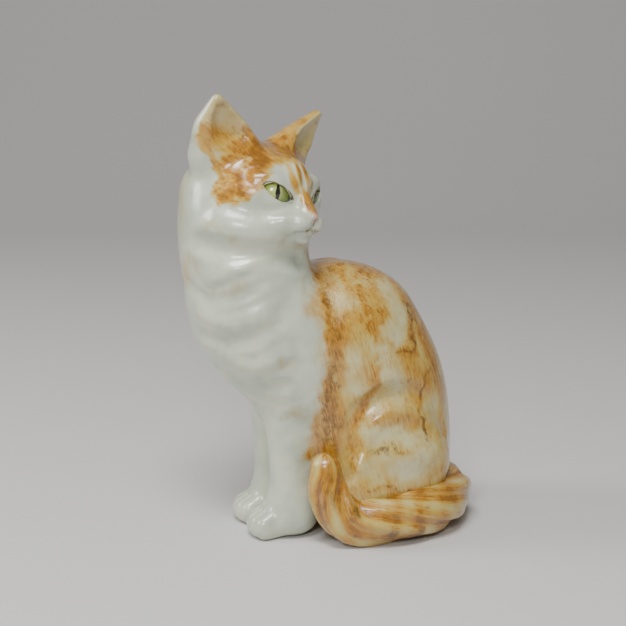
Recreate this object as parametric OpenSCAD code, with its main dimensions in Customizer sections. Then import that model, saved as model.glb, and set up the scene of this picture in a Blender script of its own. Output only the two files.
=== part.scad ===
// Seated ceramic cat that looks back over its left shoulder.
// The torso and head are hollow slip castings. The ears, forelegs, hind paw and tail are cast apart
// and luted on, a disc closes the torso's base, and glass eyes are bedded in sockets in the head.
// The cat faces -Y, its left is +X, and it stands on z = 0.

/* [Figure] */
// Height from the base to the tip of the right ear
figure_height = 300; // [240:1:360]
// Turn of the head towards the cat's left shoulder
head_turn = 120; // [100:1:130]
// Tilt of the head towards its own left ear
head_tilt = 10; // [0:1:14]
/* [Casting] */
// Wall of the slip-cast torso and head
wall = 5; // [4:0.5:7]
// Facets round each rounded mass
facets = 28; // [20:4:32]
/* [Base] */
// Radius of the disc that closes the torso
disc_r = 26; // [20:1:28]
// Thickness of the disc
disc_h = 5; // [4:0.5:8]
// Radius of the vent hole through the disc
vent_r = 6; // [4:0.5:8]
/* [Eyes] */
// Radius of a glass eye
eye_r = 10; // [9:0.25:11]
// Height of its dome
eye_dome = 5.5; // [4:0.25:7]
// Thickness of the painted iris disc behind the glass
iris_h = 1; // [0.6:0.1:1.5]
// Thickness of the cement that beds each eye
cement_h = 2.5; // [1.5:0.25:3]

/* [Hidden] */
steps = 3;             // hulls between two key beads
cavity_facets = 20;
limb_facets = 22;
fine_facets = 48;
far = 400;
fit_gap = 0.2;         // gap round the disc and round each eye
disc_y = 10;
disc_ledge = 4;        // width of the ledge the disc is luted to
seam_z = 192;          // where the head casting is luted to the neck
origin = [8, -27, 0];  // centre of the footprint of the whole figure

// A bead is an ellipsoid: [x, y, z, half width, half depth, half height].
spine_beads = [[0, 10, 30, 48, 55, 40], [0, 3, 64, 52, 62, 46], [0, -5, 100, 53, 64, 52],
               [0, -24, 139, 50, 64, 48]];
chest_beads = [[0, -44, 84, 36, 24, 28], [0, -52, 108, 42, 36, 32], [0, -72, 144, 46, 48, 34],
               [0, -83, 182, 43, 44, 28], [0, -86, 214, 44, 43.5, 26], [-6, -88, 238, 38, 38, 26]];
haunch_beads = [[32, 12, 48, 27, 42, 38], [40, -16, 34, 19, 26, 27]];
leg_x = 17;
leg_beads = [[leg_x, -58, 112, 20, 22, 24], [leg_x, -58, 72, 16.5, 17.5, 18], [leg_x, -58, 36, 15, 15.5, 16],
             [leg_x + 1, -58, 13, 18, 21, 14]];
toe_spread = [-10, -3.5, 3.5, 10];
tail_beads = [[-10, 53, 21, 18, 18, 19], [24, 56, 20, 18, 19, 19], [49, 34, 18, 18, 18, 18],
              [58, 2, 17, 17, 17, 17], [54, -28, 17, 16, 17, 17], [49, -42, 36, 15, 15, 16],
              [48, -44, 54, 12, 12, 12]];
hind_beads = [[-44, -16, 12, 15, 20, 14], [-45, -44, 10, 14, 12, 12]];

// Beads in the head's own frame, whose centre is head_at and whose face looks along -Y.
head_at = [0, -75, 234];
skull_beads = [[0, 8, 0, 42, 39, 37], [0, -8, -1, 42, 33, 32]];
cheek_beads = [[20, 0, -12, 22, 32, 22], [10, -22, -15, 18, 20, 13]];
muzzle_beads = [[0, -26, -3, 15, 19, 16], [0, -43, -13, 13, 12, 11]];
ear_root = [25, 7, 22, 29, 17, 19];
ear_middle = [38, 3, 42, 19, 11, 10];
ear_turn = 26;
ear_tip_r = 4;
ear_tip = [50, -2, 59];
eye_at = [18, -33.5, 3.5];
eye_splay = 30;
drawn_height = head_at[2] + ear_tip[0] * sin(head_tilt) + ear_tip[2] * cos(head_tilt) + ear_tip_r;
k = figure_height / drawn_height;

// Beads between the key beads, along a Catmull-Rom curve through them.
function mix(a, b, c, d, t) =
    (2 * b + (c - a) * t + (2 * a - 5 * b + 4 * c - d) * t * t + (3 * b - a - 3 * c + d) * t * t * t) / 2;
function at(keys, i) = keys[max(0, min(len(keys) - 1, i))];
function smooth(keys) = [
    for (i = [0 : len(keys) - 2], s = [0 : steps - 1])
        mix(at(keys, i - 1), keys[i], keys[i + 1], at(keys, i + 2), s / steps),
    keys[len(keys) - 1]
];
function thinned(keys, by) = [for (b = keys) [b[0], b[1], b[2], b[3] - by, b[4] - by, b[5] - by]];

module bead(b, fn = facets) translate([b[0], b[1], b[2]]) scale([b[3], b[4], b[5]]) sphere(1, $fn = fn);
module flow(keys, fn = facets) {
    beads = smooth(keys);
    for (i = [0 : len(beads) - 2]) hull() {
        bead(beads[i], fn);
        bead(beads[i + 1], fn);
    }
}
module side(s) mirror([s < 0 ? 1 : 0, 0, 0]) children();
module both() for (s = [-1, 1]) side(s) children();
module below(z) translate([-far, -far, z - far]) cube([2 * far, 2 * far, far]);
module above(z) translate([-far, -far, z]) cube([2 * far, 2 * far, far]);
module placed() scale(k) translate(-origin) children();
module on_head() translate(head_at) rotate([0, 0, head_turn]) rotate([0, head_tilt, 0]) children();
module on_eye(s) on_head() side(s) translate(eye_at) rotate([90, 0, eye_splay]) children();

module torso_mass() {
    flow(spine_beads);
    flow(chest_beads);
    both() flow(haunch_beads);
}
module head_mass() on_head() {
    flow(skull_beads);
    both() flow(cheek_beads);
    flow(muzzle_beads);
}
module torso_cavity() {
    flow(thinned(spine_beads, wall / k), cavity_facets);
    flow(thinned(chest_beads, wall / k), cavity_facets);
}
module head_cavity() on_head() flow(thinned(skull_beads, wall / k), cavity_facets);

module torso_shell() color("wheat") placed() difference() {
    torso_mass();
    above(seam_z);
    below(0);
    difference() {
        torso_cavity();
        below((disc_h + wall) / k);
    }
    translate([0, disc_y, -1]) {
        cylinder(r = (disc_r + fit_gap) / k, h = disc_h / k + 1, $fn = fine_facets);
        cylinder(r = (disc_r - disc_ledge) / k, h = (disc_h + wall) / k + 2, $fn = fine_facets);
    }
}
module base_disc() color("linen") placed() translate([0, disc_y, 0]) difference() {
    cylinder(r = disc_r / k, h = disc_h / k, $fn = fine_facets);
    translate([0, 0, -1]) cylinder(r = vent_r / k, h = disc_h / k + 2, $fn = fine_facets);
}
module head_shell() color("white") placed() difference() {
    union() {
        head_mass();
        difference() {
            flow(chest_beads);
            below(seam_z);
        }
    }
    below(seam_z);
    torso_cavity();
    head_cavity();
    for (s = [-1, 1]) on_eye(s) eye_socket();
}

// The ear is a cupped cone, hollowed from its front.
module turned_bead(b, turn) translate([b[0], b[1], b[2]]) rotate([0, 0, turn])
    scale([b[3], b[4], b[5]]) sphere(1, $fn = facets);
module ear_mass() hull() {
    turned_bead(ear_root, ear_turn);
    turned_bead(ear_middle, ear_turn);
    translate(ear_tip) sphere(ear_tip_r, $fn = 16);
}
module ear_cup() translate([7, -6, 0]) hull() {
    turned_bead(ear_root + [4, 1, 13, -15, -5, -10], ear_turn);
    turned_bead(ear_middle + [1, 0, 0, -8, -4, -3], ear_turn);
    translate(ear_tip - [5, 0, 10]) sphere(ear_tip_r - 1, $fn = 16);
}
module ear(s) placed() difference() {
    on_head() side(s) difference() {
        ear_mass();
        ear_cup();
    }
    head_mass();
    flow(chest_beads);
}
module left_ear() color("peachpuff") ear(1);
module right_ear() color("peachpuff") ear(-1);

module across_middle() translate([-far, -far, -far]) cube([far, 2 * far, 2 * far]);
module foreleg(s) placed() difference() {
    side(s) {
        flow(leg_beads, limb_facets);
        for (t = toe_spread) hull() {
            bead([leg_x + t * 0.7, -67, 12, 6, 10, 12], limb_facets);
            bead([leg_x + t, -84 + abs(t) * 0.35, 8.5, 5.2, 7, 8.8], limb_facets);
        }
    }
    torso_mass();
    below(0);
    side(s) across_middle();
}
module left_foreleg() color("whitesmoke") foreleg(1);
module right_foreleg() color("whitesmoke") foreleg(-1);
module right_hind_paw() color("whitesmoke") placed() difference() {
    flow(hind_beads, limb_facets);
    torso_mass();
    below(0);
}
module tail() color("sandybrown") placed() difference() {
    flow(tail_beads, limb_facets);
    torso_mass();
    below(0);
    flow(leg_beads, limb_facets);
}

// An eye is built along +Z, with the flat back of its glass at eye_back.
eye_back = -3;
dome_r = (eye_r * eye_r + eye_dome * eye_dome) / (2 * eye_dome);
module eye_glass() intersection() {
    translate([0, 0, eye_back + eye_dome / k - dome_r / k]) sphere(dome_r / k, $fn = fine_facets);
    translate([0, 0, eye_back]) cylinder(r = eye_r / k, h = eye_dome / k, $fn = fine_facets);
}
module eye_iris() translate([0, 0, eye_back - iris_h / k]) cylinder(r = eye_r / k, h = iris_h / k, $fn = fine_facets);
module eye_cement() translate([0, 0, eye_back - (iris_h + cement_h) / k])
    cylinder(r = eye_r / k, h = cement_h / k, $fn = fine_facets);
module eye_socket() {
    translate([0, 0, eye_back - (iris_h + cement_h) / k])
        cylinder(r = (eye_r + fit_gap) / k, h = far, $fn = facets);
}
module left_eye_glass() color("yellowgreen") placed() on_eye(1) eye_glass();
module right_eye_glass() color("yellowgreen") placed() on_eye(-1) eye_glass();
module left_eye_iris() color("olivedrab") placed() on_eye(1) eye_iris();
module right_eye_iris() color("olivedrab") placed() on_eye(-1) eye_iris();
module left_eye_cement() color("gainsboro") placed() on_eye(1) eye_cement();
module right_eye_cement() color("gainsboro") placed() on_eye(-1) eye_cement();

torso_shell();
base_disc();
head_shell();
left_ear();
right_ear();
left_foreleg();
right_foreleg();
right_hind_paw();
tail();
left_eye_glass();
right_eye_glass();
left_eye_iris();
right_eye_iris();
left_eye_cement();
right_eye_cement();
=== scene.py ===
import math

import bmesh
import bpy
import numpy as np
from bpy.props import FloatProperty, FloatVectorProperty, IntProperty, PointerProperty
from mathutils import Matrix, Vector


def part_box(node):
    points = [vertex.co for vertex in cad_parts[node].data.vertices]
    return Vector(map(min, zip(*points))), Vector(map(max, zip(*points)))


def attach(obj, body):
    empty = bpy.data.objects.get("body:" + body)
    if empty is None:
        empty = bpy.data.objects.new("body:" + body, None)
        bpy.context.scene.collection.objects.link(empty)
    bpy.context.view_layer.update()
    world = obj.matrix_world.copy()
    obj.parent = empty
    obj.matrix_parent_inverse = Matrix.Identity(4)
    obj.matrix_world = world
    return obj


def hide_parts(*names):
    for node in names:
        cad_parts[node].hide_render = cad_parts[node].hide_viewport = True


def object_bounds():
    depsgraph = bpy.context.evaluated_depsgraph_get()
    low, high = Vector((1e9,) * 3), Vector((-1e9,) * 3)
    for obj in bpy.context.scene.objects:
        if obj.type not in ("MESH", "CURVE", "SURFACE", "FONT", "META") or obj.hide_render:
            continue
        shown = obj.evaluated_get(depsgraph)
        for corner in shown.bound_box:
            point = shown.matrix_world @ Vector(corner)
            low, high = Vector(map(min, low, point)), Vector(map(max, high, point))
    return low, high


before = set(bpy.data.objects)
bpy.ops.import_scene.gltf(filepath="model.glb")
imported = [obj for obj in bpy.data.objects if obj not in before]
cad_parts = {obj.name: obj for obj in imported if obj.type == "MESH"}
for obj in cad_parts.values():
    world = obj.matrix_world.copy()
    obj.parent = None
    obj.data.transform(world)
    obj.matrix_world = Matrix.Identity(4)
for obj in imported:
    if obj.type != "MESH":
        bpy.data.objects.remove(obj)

bl_info = {
    "name": "Seated ceramic cat",
    "version": (1, 0, 0),
    "blender": (4, 5, 0),
    "location": "View3D > Sidebar > Cat",
    "description": "Casts, paints and glazes a seated ceramic cat round its packed model",
    "category": "Object",
}

# ---- measures
# Shapes are drawn in millimetres in the frame the casting is designed in, and a
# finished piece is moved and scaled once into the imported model's frame, in metres.
CAD_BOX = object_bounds()
HEAD_AT = (0, -75, 234)
HEAD_TURN = 120
HEAD_TILT = 10
EAR_TIP = (50, -2, 59)
EAR_TIP_R = 4
FOOT_CENTRE = (8, -27, 0)
SEAM_Z = 192

# A bead is an ellipsoid: x, y, z, half width, half depth, half height.
SPINE = [(0, 10, 30, 48, 55, 40), (0, 3, 64, 52, 62, 46), (0, -5, 100, 53, 64, 52), (0, -24, 139, 50, 64, 48)]
CHEST = [(0, -44, 84, 36, 24, 28), (0, -52, 108, 42, 36, 32), (0, -72, 144, 46, 48, 34),
         (0, -83, 182, 43, 44, 28), (0, -86, 214, 44, 43.5, 26), (-6, -88, 238, 38, 38, 26)]
HAUNCH = [(32, 12, 48, 27, 42, 38), (40, -16, 34, 19, 26, 27)]
LEG_X = 17
LEG = [(17, -58, 112, 20, 22, 24), (17, -58, 72, 16.5, 17.5, 18), (17, -58, 36, 15, 15.5, 16),
       (18, -58, 13, 18, 21, 14)]
TOES = (-10, -3.5, 3.5, 10)
HIND_PAW = [(-44, -16, 12, 15, 20, 14), (-45, -44, 10, 14, 12, 12)]
PAW_WEB = [(-29, -34, 16, 10, 12, 18), (-32, -44, 13, 9, 9, 14)]
TAIL = [(-10, 53, 21, 18, 18, 19), (24, 55.4, 20, 18, 19, 19), (49, 34, 18, 18, 18, 18),
        (58, 2, 17, 17, 17, 17), (54, -28, 17, 16, 17, 17), (49, -42, 36, 15, 15, 16),
        (48, -44, 54, 12, 12, 12)]

# Beads in the head's own frame: the face looks along -Y.
SKULL = [(0, 8, 0, 42, 39, 37), (0, -8, -1, 42, 33, 32)]
NAPE = [(26, 12, 14, 18, 20, 18), (24, 14, -14, 20, 24, 24)]
CHEEK = [(20, 0, -12, 22, 32, 22), (10, -22, -15, 18, 19, 12)]
BRIDGE = [(0, -18, 12, 17, 22, 18), (0, -30, 2, 10, 14, 12), (0, -42, -8, 7.5, 10, 8)]
MUZZLE = [(8, -34, -14, 12, 13, 10), (6, -45, -14.5, 8.5, 8, 7)]
CHIN = [(0, -26, -23, 15, 14, 9), (0, -39, -24, 8, 7.5, 6)]
NOSE = [(0, -46, -7, 4.5, 7, 5), (0, -50, -9, 4.5, 4, 3.5)]
EAR_ROOT = (25, 7, 22, 29, 17, 19)
EAR_MIDDLE = (38, 3, 42, 19, 11, 10)
EAR_FACE_TURN = 26
EAR_CUP = ((36, -9, 37, 16, 9, 8), (41, -8, 45, 14, 8, 6), (51, -6, 57), 2.4)
EYE_AT = (18, -33.5, 3.5)
EYE_SPLAY = 30
LENS_R = 10
LENS_DOME = 5.5
LENS_BACK = -3
IRIS_DROP = -1.2
IRIS_SLIM = -0.9
PUPIL_HALF = 1.9
PUPIL_TAPER = 0.2

LID = 1.4               # thickness of the lids over the glass
# The opening between the lids: half its width, its height above and below, its slant.
OPENING_HALF = 10.4
OPENING_TOP = 5.4
OPENING_FOOT = 4.6
OPENING_SLANT = 3.4
OPENING_DEPTH = 9

# The base disc's seat and the well above it: radius in real millimetres, depth in drawn ones
DISC_SEAT = ((26.3, 5.1), (22, 40))
TAIL_TWIST = -0.028     # turn of the tail's locks, in radians per millimetre
SLAB_REACH = 200
BALL_DETAIL = 4         # subdivisions of a bead's ball
BEAD_STEPS = 4          # beads from one key bead to the next
STROKE_STEPS = 5        # straight runs from one point of a stroke to the next
CREASE = 50             # degrees from which an edge stays sharp
MM_PER_DEGREE = 0.7     # round the head
HAIR_STRETCH = 0.12     # how much slower a hair's colour changes along it than across it

# The camera, in degrees, metres and the lens's millimetres
VIEW_TURN = 70
VIEW_RISE = 12.5
VIEW_AWAY = 1.0817
VIEW_AIM = (-0.0079, 0.0059, 0.1475)
VIEW_LENS = 91.4
VIEW_SHIFT = (-0.032, -0.0016)

bench = {}              # masses and materials that the operators share


def head_frame():
    return (Matrix.Translation(HEAD_AT) @ Matrix.Rotation(math.radians(HEAD_TURN), 4, "Z")
            @ Matrix.Rotation(math.radians(HEAD_TILT), 4, "Y"))


def eye_frame(side):
    """Origin in the middle of the eye, Z out of the eye, X away from the nose and Y up."""
    local = (Matrix.Translation(EYE_AT) @ Matrix.Rotation(math.radians(EYE_SPLAY), 4, "Z")
             @ Matrix.Rotation(math.radians(90), 4, "X"))
    return head_frame() @ Matrix.Diagonal((side, 1, 1, 1)) @ local


def drawn_height():
    tilt = math.radians(HEAD_TILT)
    return HEAD_AT[2] + EAR_TIP[0] * math.sin(tilt) + EAR_TIP[2] * math.cos(tilt) + EAR_TIP_R


UNIT = (CAD_BOX[1][2] - CAD_BOX[0][2]) / drawn_height()
TO_MODEL = Matrix.Scale(UNIT, 4) @ Matrix.Translation([-c for c in FOOT_CENTRE])


# ---- meshes
def linked(name, data):
    made = bpy.data.objects.new(name, data)
    bpy.context.scene.collection.objects.link(made)
    return made


def new_object(name, bm):
    mesh = bpy.data.meshes.new(name)
    bm.to_mesh(mesh)
    bm.free()
    return linked(name, mesh)


def settled(piece):
    """Applies the piece's modifiers."""
    bpy.context.view_layer.update()
    seen = piece.evaluated_get(bpy.context.evaluated_depsgraph_get())
    mesh = bpy.data.meshes.new_from_object(seen)
    piece.modifiers.clear()
    old, piece.data = piece.data, mesh
    bpy.data.meshes.remove(old)
    return piece


def discard(*pieces):
    for piece in pieces:
        bpy.data.objects.remove(piece)


def bead_matrix(bead, turn=0):
    return (Matrix.Translation(bead[:3]) @ Matrix.Rotation(math.radians(turn), 4, "Z")
            @ Matrix.Diagonal((*bead[3:6], 1)))


def add_hull(bm, placings):
    """Adds the convex hull of unit balls placed by the matrices."""
    part = bmesh.new()
    for placing in placings:
        bmesh.ops.create_icosphere(part, subdivisions=BALL_DETAIL, radius=1, matrix=placing)
    bmesh.ops.delete(part, geom=part.edges[:], context="EDGES_FACES")
    bmesh.ops.convex_hull(part, input=part.verts[:], use_existing_faces=False)
    bmesh.ops.delete(part, geom=[v for v in part.verts if not v.link_faces], context="VERTS")
    mesh = bpy.data.meshes.new("hull")
    part.to_mesh(mesh)
    part.free()
    bm.from_mesh(mesh)
    bpy.data.meshes.remove(mesh)


def curve_through(keys, steps):
    """Catmull-Rom points through the keys."""
    keys = np.asarray(keys, float)
    if len(keys) < 2:
        return keys
    padded = np.vstack([keys[:1], keys, keys[-1:]])
    rows = []
    for a, b, c, d in zip(padded, padded[1:], padded[2:], padded[3:]):
        for t in np.arange(steps) / steps:
            rows.append((2 * b + (c - a) * t + (2 * a - 5 * b + 4 * c - d) * t * t
                         + (3 * b - a - 3 * c + d) * t ** 3) / 2)
    return np.array(rows + [keys[-1]])


def add_flow(bm, keys, into=Matrix(), grow=0):
    """Adds a limb: hulls between neighbouring beads along a smooth curve through the keys."""
    beads = curve_through(keys, BEAD_STEPS)
    beads[:, 3:] += grow
    placings = [into @ bead_matrix(bead) for bead in beads]
    for pair in zip(placings, placings[1:]):
        add_hull(bm, pair)


def mirrored(keys):
    return [(-k[0], *k[1:]) for k in keys]


def both(keys):
    return (keys, mirrored(keys))


def remeshed(piece, voxel, rounds=0):
    """The piece's masses as one even skin, smoothed in some rounds."""
    change = piece.modifiers.new("cast", "REMESH")
    change.mode = "VOXEL"
    change.voxel_size = voxel
    if rounds:
        smooth = piece.modifiers.new("fettle", "SMOOTH")
        smooth.factor = 0.5
        smooth.iterations = rounds
    return settled(piece)


def combined(piece, cutter, operation):
    change = piece.modifiers.new("cut", "BOOLEAN")
    change.operation = operation
    change.solver = "MANIFOLD"
    change.object = cutter
    return settled(piece)


def slab(low, high):
    bm = bmesh.new()
    size = Vector(high) - Vector(low)
    middle = (Vector(high) + Vector(low)) / 2
    bmesh.ops.create_cube(bm, size=1, matrix=Matrix.Translation(middle) @ Matrix.Diagonal((*size, 1)))
    return new_object("slab", bm)


def ground_slab():
    return slab((-SLAB_REACH, -SLAB_REACH, -100), (SLAB_REACH, SLAB_REACH, 0))


# ---- points and brushes
def points_of(mesh, field="co"):
    values = np.empty(len(mesh.vertices) * 3)
    mesh.vertices.foreach_get(field, values)
    return values.reshape(-1, 3)


def normals_of(mesh):
    return points_of(mesh, "normal")


def put_points(mesh, co):
    mesh.vertices.foreach_set("co", co.astype(np.float32).ravel())
    mesh.update()


def inside_frame(co, matrix):
    """Points given in the frame that matrix places."""
    back = np.array(matrix.inverted())
    return co @ back[:3, :3].T + back[:3, 3]


def nearness(co, path):
    """How far each point is from a smooth path through the given points."""
    line = curve_through(path, STROKE_STEPS)
    if len(line) == 1:
        return np.linalg.norm(co - line[0], axis=1)
    best = np.full(len(co), 1e9)
    for a, b in zip(line, line[1:]):
        run = b - a
        t = np.clip((co - a) @ run / max(run @ run, 1e-9), 0, 1)
        best = np.minimum(best, np.linalg.norm(co - a - t[:, None] * run, axis=1))
    return best


def soft(distance, radius):
    """1 in the middle of a stroke, falling smoothly to 0 at its radius."""
    return np.clip(1 - (distance / radius) ** 2, 0, None) ** 2


def ease(value, low, high):
    """0 below low, 1 above high, smooth between."""
    t = np.clip((value - low) / (high - low), 0, 1)
    return t * t * (3 - 2 * t)


def relaxed(co, edges, weight, rounds):
    """Draws each point towards its neighbours, as a wet sponge does."""
    edges = edges[(weight[edges] > 0.01).any(axis=1)]
    used, renumbered = np.unique(edges, return_inverse=True)
    a, b = renumbered.reshape(-1, 2).T
    near, size = co[used], len(used)
    count = np.bincount(a, minlength=size) + np.bincount(b, minlength=size)
    pull = 0.5 * np.where(weight[used] > 0.01, weight[used], 0)[:, None]
    for _ in range(rounds):
        total = np.stack([np.bincount(a, near[b, i], size) + np.bincount(b, near[a, i], size)
                          for i in range(3)], 1)
        near = near + pull * (total / count[:, None] - near)
    co = co.copy()
    co[used] = near
    return co


def edges_of(mesh):
    pairs = np.empty(len(mesh.edges) * 2, np.int32)
    mesh.edges.foreach_get("vertices", pairs)
    return pairs.reshape(-1, 2)


def worked(mesh, strokes, matrix=Matrix()):
    """Pushes the surface out, or in, along strokes given in the frame matrix places. A stroke is its
    path, its radius, how far it moves the clay, and whether its mirror image is worked too."""
    local = inside_frame(points_of(mesh), matrix)
    push = np.zeros(len(local))
    for path, radius, depth, twin in strokes:
        reach = np.array(path, float)
        low, high = reach.min(0) - radius, reach.max(0) + radius
        for flip in ((1, -1) if twin else (1,)):
            seen = local * (flip, 1, 1)
            close = np.all((seen > low) & (seen < high), axis=1)
            push[close] += depth * soft(nearness(seen[close], path), radius)
    put_points(mesh, points_of(mesh) + push[:, None] * normals_of(mesh))


# ---- the casting
def add_ear(bm, side, root, middle, tip, tip_r):
    """One ear, as the hull of its root, its middle and its tip."""
    placings = [bead_matrix(bead, EAR_FACE_TURN) for bead in (root, middle)]
    placings.append(Matrix.Translation(tip) @ Matrix.Scale(tip_r, 4))
    onto = head_frame() @ Matrix.Diagonal((side, 1, 1, 1))
    add_hull(bm, [onto @ placing for placing in placings])


def grown(bead, grow):
    """The bead, larger all round."""
    return [*bead[:3], *(size + grow for size in bead[3:])]


def outer_ear(bm, side, grow=0.0):
    add_ear(bm, side, grown(EAR_ROOT, grow), grown(EAR_MIDDLE, grow), EAR_TIP, EAR_TIP_R + grow)


def torso_beads(bm, grow=0.0):
    for keys in (SPINE, CHEST, *both(HAUNCH)):
        add_flow(bm, keys, grow=grow)


def head_beads(bm, grow=0.0):
    head = head_frame()
    for keys in (SKULL, *both(NAPE), *both(CHEEK)):
        add_flow(bm, keys, head, grow=grow)


def leg_beads(bm, keys, grow=0.0):
    add_flow(bm, keys, grow=grow)
    side = math.copysign(1, keys[0][0])
    for toe in TOES:
        knuckle = (side * (LEG_X + toe * 0.7), -67, 12, 6 + grow, 10 + grow, 12 + grow)
        tip = (side * (LEG_X + toe), -84 + abs(toe) * 0.35, 8.5, 5.2 + grow, 7 + grow, 8.8 + grow)
        add_hull(bm, [bead_matrix(knuckle), bead_matrix(tip)])


def made_of(add, name):
    bm = bmesh.new()
    add(bm)
    return new_object(name, bm)


def whole_mass(bm):
    torso_beads(bm)
    head_beads(bm)
    head = head_frame()
    for keys in (BRIDGE, NOSE, CHIN, *both(MUZZLE)):
        add_flow(bm, keys, head)
    for keys in both(LEG):
        leg_beads(bm, keys)
    add_flow(bm, HIND_PAW)
    add_flow(bm, PAW_WEB)
    for side in (-1, 1):
        outer_ear(bm, side)
        lid = eye_frame(side) @ Matrix.Translation((0, 0, LENS_BACK + LENS_DOME - lens_radius()))
        add_hull(bm, [lid @ Matrix.Scale(lens_radius() + LID, 4)])


def lens_radius():
    return (LENS_R ** 2 + LENS_DOME ** 2) / (2 * LENS_DOME)


def lens_mesh(side, drop, slim):
    """A domed disc: the glass, or, dropped and slimmer, the painted iris behind it."""
    bm = bmesh.new()
    radius = lens_radius()
    centre = LENS_BACK + LENS_DOME - radius
    rim = math.asin((LENS_R + slim) / radius)
    arc = [Vector((radius * math.sin(rim * i / 20), 0, centre + radius * math.cos(rim * i / 20) + drop))
           for i in range(21)]
    arc += [Vector((x, 0, LENS_BACK + drop)) for x in (arc[-1].x, 0)]
    verts = [bm.verts.new(point) for point in arc]
    edges = [bm.edges.new(pair) for pair in zip(verts, verts[1:])]
    bmesh.ops.spin(bm, geom=verts + edges, cent=(0, 0, 0), axis=(0, 0, 1), angle=math.tau, steps=72,
                   use_merge=True)
    bmesh.ops.remove_doubles(bm, verts=bm.verts[:], dist=0.001)
    bmesh.ops.transform(bm, matrix=eye_frame(side), verts=bm.verts[:])
    bmesh.ops.recalc_face_normals(bm, faces=bm.faces[:])
    return bm


def ear_hollow(bm):
    for side in (-1, 1):
        add_ear(bm, side, *EAR_CUP)


def almond(bm, side):
    """The eye's opening between the lids, as a prism along the eye's axis."""
    made = bmesh.ops.create_circle(bm, cap_ends=True, segments=64, radius=1)
    for vert in made["verts"]:
        across, up = vert.co.x, vert.co.y
        height = OPENING_TOP if up > 0 else OPENING_FOOT
        vert.co = (across * OPENING_HALF, up * abs(up) ** 0.5 * height + across * OPENING_SLANT,
                   -OPENING_DEPTH)
    walls = bmesh.ops.extrude_face_region(bm, geom=bm.faces[:])
    moved = [v for v in walls["geom"] if isinstance(v, bmesh.types.BMVert)]
    bmesh.ops.translate(bm, vec=(0, 0, 20 + OPENING_DEPTH), verts=moved)
    bmesh.ops.transform(bm, matrix=eye_frame(side), verts=bm.verts[:])
    bmesh.ops.recalc_face_normals(bm, faces=bm.faces[:])


def regional_weight(co):
    """How soft the casting is: soft over the body, crisp on the face, ears and paws."""
    face = inside_frame(co, head_frame())
    crisp_face = ease(-face[:, 1], 18, 32) * ease(face[:, 2], -34, -26)
    crisp_ear = ease(face[:, 2], 30, 38)
    crisp_paw = ease(-co[:, 2], -42, -24) * ease(-co[:, 1], 40, 55)
    return 1 - np.clip(crisp_face * 0.93 + crisp_ear * 0.9 + crisp_paw * 0.9, 0, 0.95)


def shoulder_weight(co):
    """Where the neck and the chest run into the back without a crease."""
    across = (1 - ease(np.abs(co[:, 1] + 55), 16, 30)) * ease(np.abs(co[:, 0]), 14, 24)
    return across * ease(co[:, 2], 80, 104) * (1 - ease(co[:, 2], 190, 206))


def cast_body(settings):
    cast = remeshed(made_of(whole_mass, "cast"), 1.5)
    hollow = remeshed(made_of(ear_hollow, "hollow"), 1.2, 4)
    cast = combined(cast, hollow, "DIFFERENCE")
    cast = remeshed(cast, settings.clay_grain)
    mesh = cast.data
    co, edges = points_of(mesh), edges_of(mesh)
    co = relaxed(co, edges, np.ones(len(co)), 4)
    co = relaxed(co, edges, regional_weight(co), settings.sponge_rounds)
    co = relaxed(co, edges, shoulder_weight(co), settings.sponge_rounds * 4)
    put_points(mesh, co)
    worked(mesh, BODY_STROKES + TOE_STROKES)
    worked(mesh, HEAD_STROKES, head_frame())
    refine_face(mesh)
    worked(mesh, FACE_STROKES, head_frame())
    ground = ground_slab()
    cast = combined(cast, ground, "DIFFERENCE")
    discard(hollow, ground)
    return cast


def refine_face(mesh):
    """Gives the face a finer mesh for the mouth and nose."""
    bm = bmesh.new()
    bm.from_mesh(mesh)
    back = head_frame().inverted()
    chosen = []
    for edge in bm.edges:
        x, y, z = back @ ((edge.verts[0].co + edge.verts[1].co) / 2)
        if y < -20 and abs(x) < 32 and -32 < z < 18:
            chosen.append(edge)
    bmesh.ops.subdivide_edges(bm, edges=chosen, cuts=1, smooth=0.6, use_grid_fill=True)
    bmesh.ops.triangulate(bm, faces=[f for f in bm.faces if len(f.verts) > 4])
    bm.to_mesh(mesh)
    bm.free()


# Strokes of the modelling tool, as worked takes them.
BODY_STROKES = [
    ([(38, -57, 186), (43, -57, 165), (43, -56, 135), (38, -56, 100)], 20, 2.5, True),
    ([(8, -130, 178), (34, -116, 170), (49, -84, 182)], 8, -2.0, True),
    ([(30, -118, 184), (44, -96, 196), (46, -72, 202)], 8, 2.0, True),
    ([(20, -124, 160), (40, -104, 156), (50, -72, 170)], 9, 2.0, True),
    ([(10, -122, 146), (36, -102, 142), (49, -74, 154)], 8, -1.9, True),
    ([(24, -104, 132), (38, -90, 124), (46, -70, 136)], 9, 1.8, True),
    ([(12, -104, 120), (32, -90, 108), (40, -70, 112)], 8, -1.7, True),
    ([(20, -88, 96), (34, -72, 90)], 8, 1.0, True),
    ([(46, -36, 44), (51, -33, 60), (54, -28, 80), (55, -10, 98), (54, 14, 102), (50, 38, 92),
      (42, 54, 70)], 12, -6, True),
    ([(52, -21, 54), (56, -17, 70), (57, -4, 84), (56, 14, 87), (52, 32, 78)], 9, 2, True),
    ([(56, -10, 50), (57, 10, 46), (52, 30, 46)], 14, -2.2, True),
    ([(46, -36, 116), (50, -28, 98)], 14, -2.5, True),
    ([(54, -20, 168), (56, -12, 140)], 10, 1.6, True),
    ([(54, -34, 160), (54, -32, 130)], 8, -1.4, True),
    ([(52, 4, 170), (55, 8, 142)], 8, -1.4, True),
    ([(52, -14, 62), (56, 6, 66), (50, 26, 58)], 24, 1.4, True),
    ([(52, -22, 182), (56, -4, 150), (54, 4, 120)], 16, 1.0, True),
    ([(50, 16, 160), (52, 24, 130), (48, 34, 108)], 9, -1.2, True),
    ([(24, -36, 190), (10, -20, 184)], 10, 1.2, True),
]
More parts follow.
